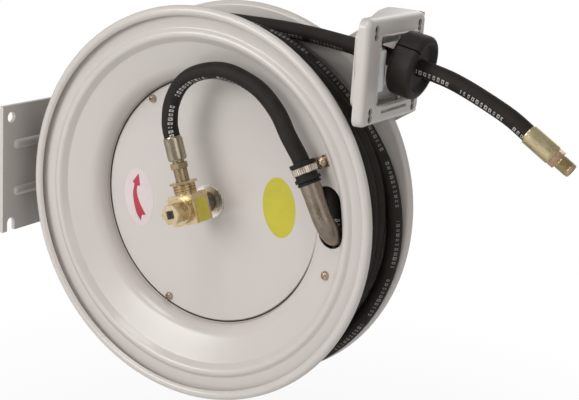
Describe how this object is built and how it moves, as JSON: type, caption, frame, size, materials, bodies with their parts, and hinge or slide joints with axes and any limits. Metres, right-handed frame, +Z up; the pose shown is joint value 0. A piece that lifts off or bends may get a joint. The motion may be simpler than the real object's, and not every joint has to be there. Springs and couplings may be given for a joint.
{
  "type": "hose reel",
  "caption": "Wall-mounted spring-rewind hose reel: open painted drum on a side arm, fixed guide arm with roller fairlead, brass swivel, ball stop on the free hose.",
  "frame": {"origin": "centre of the wall plate's back face, at the height of the drum axis", "axes": "+X from the wall towards the hose outlet, +Y along the drum axis towards the arm side (rear), +Z up; the drum's open front faces -Y"},
  "size_m": [0.6454, 0.184, 0.4405],
  "materials": {
    "bracket_paint": "warm off-white powder coat",
    "arm_paint": "warm off-white powder coat",
    "drum_paint": "warm off-white powder coat, slightly glossy",
    "fairlead_paint": "warm off-white powder coat",
    "case_paint": "grey primer",
    "zinc": "bright zinc plate",
    "dark_steel": "oiled dark steel",
    "spring_steel": "blued spring steel",
    "bronze": "sintered bronze",
    "brass": "machined brass, slightly worn",
    "yellow_zinc": "yellow zinc plate, iridescent",
    "copper_zinc": "copper-toned plate",
    "hose_rubber": "dark grey ribbed rubber",
    "black_rubber": "black moulded rubber",
    "roller_plastic": "white nylon",
    "tag_plastic": "plain yellow label film",
    "tube_steel": "satin zinc tube"
  },
  "bodies": {
    "frame": {"wall_bracket": "bracket_paint", "guide_arm": "arm_paint", "arm_bolts": "zinc", "fairlead_frame": "fairlead_paint", "roller_box": "fairlead_paint", "roller_pins": "zinc", "spindle": "dark_steel", "spindle_nut": "zinc", "spindle_washer": "zinc", "arbor": "dark_steel", "thrust_washer": "bronze", "pawl_pin": "zinc", "pawl_spring": "spring_steel", "wound_hose": "hose_rubber", "lead_hose": "hose_rubber", "free_hose": "hose_rubber", "ball_upper": "black_rubber", "ball_lower": "black_rubber", "ball_screws": "zinc", "end_ferrule": "yellow_zinc", "end_fitting": "copper_zinc"},
    "drum": {"front_flange": "drum_paint", "rear_flange": "drum_paint", "drum_core": "drum_paint", "hose_core": "hose_rubber", "spring_case": "case_paint", "case_rivets": "zinc", "power_spring": "spring_steel", "cover_disc": "drum_paint", "cover_screws": "zinc", "front_hub": "zinc", "front_bush": "bronze", "rear_hub": "dark_steel", "hub_rivets": "zinc", "rear_bush": "bronze", "ratchet_wheel": "dark_steel", "ratchet_screws": "zinc", "swivel_body": "brass", "swivel_plug": "zinc", "swivel_tag": "tag_plastic", "o_rings": "black_rubber", "inner_nut": "yellow_zinc", "inner_ferrule": "yellow_zinc", "inner_hose": "hose_rubber", "hose_clip": "zinc", "hose_cuff": "black_rubber", "gooseneck": "tube_steel", "flange_screws": "zinc"},
    "pawl": {"pawl": "dark_steel"},
    "roller_front": {"roller_front": "roller_plastic"},
    "roller_rear": {"roller_rear": "roller_plastic"},
    "roller_low": {"roller_low": "roller_plastic"},
    "roller_top": {"roller_top": "roller_plastic"}
  },
  "joints": [
    {"name": "drum_spin", "type": "hinge", "parent": "frame", "child": "drum", "pos_m": [0.252, 0, 0], "axis": [0, 1, 0], "range_deg": [0, 4410], "stiffness_Nm_per_rad": 0.03, "springref_deg": -859.44},
    {"name": "pawl_pivot", "type": "hinge", "parent": "frame", "child": "pawl", "pos_m": [0.172, 0.044, 0], "axis": [0, 1, 0], "range_deg": [-36, 0], "stiffness_Nm_per_rad": 0.02, "springref_deg": 17.19},
    {"name": "roller_front_spin", "type": "hinge", "parent": "frame", "child": "roller_front", "pos_m": [0.447, -0.027, 0.173], "axis": [0, 0, 1], "continuous": true},
    {"name": "roller_rear_spin", "type": "hinge", "parent": "frame", "child": "roller_rear", "pos_m": [0.447, 0.027, 0.173], "axis": [0, 0, 1], "continuous": true},
    {"name": "roller_low_spin", "type": "hinge", "parent": "frame", "child": "roller_low", "pos_m": [0.434, 0, 0.146], "axis": [0, 1, 0], "continuous": true},
    {"name": "roller_top_spin", "type": "hinge", "parent": "frame", "child": "roller_top", "pos_m": [0.434, 0, 0.202], "axis": [0, 1, 0], "continuous": true}
  ]
}
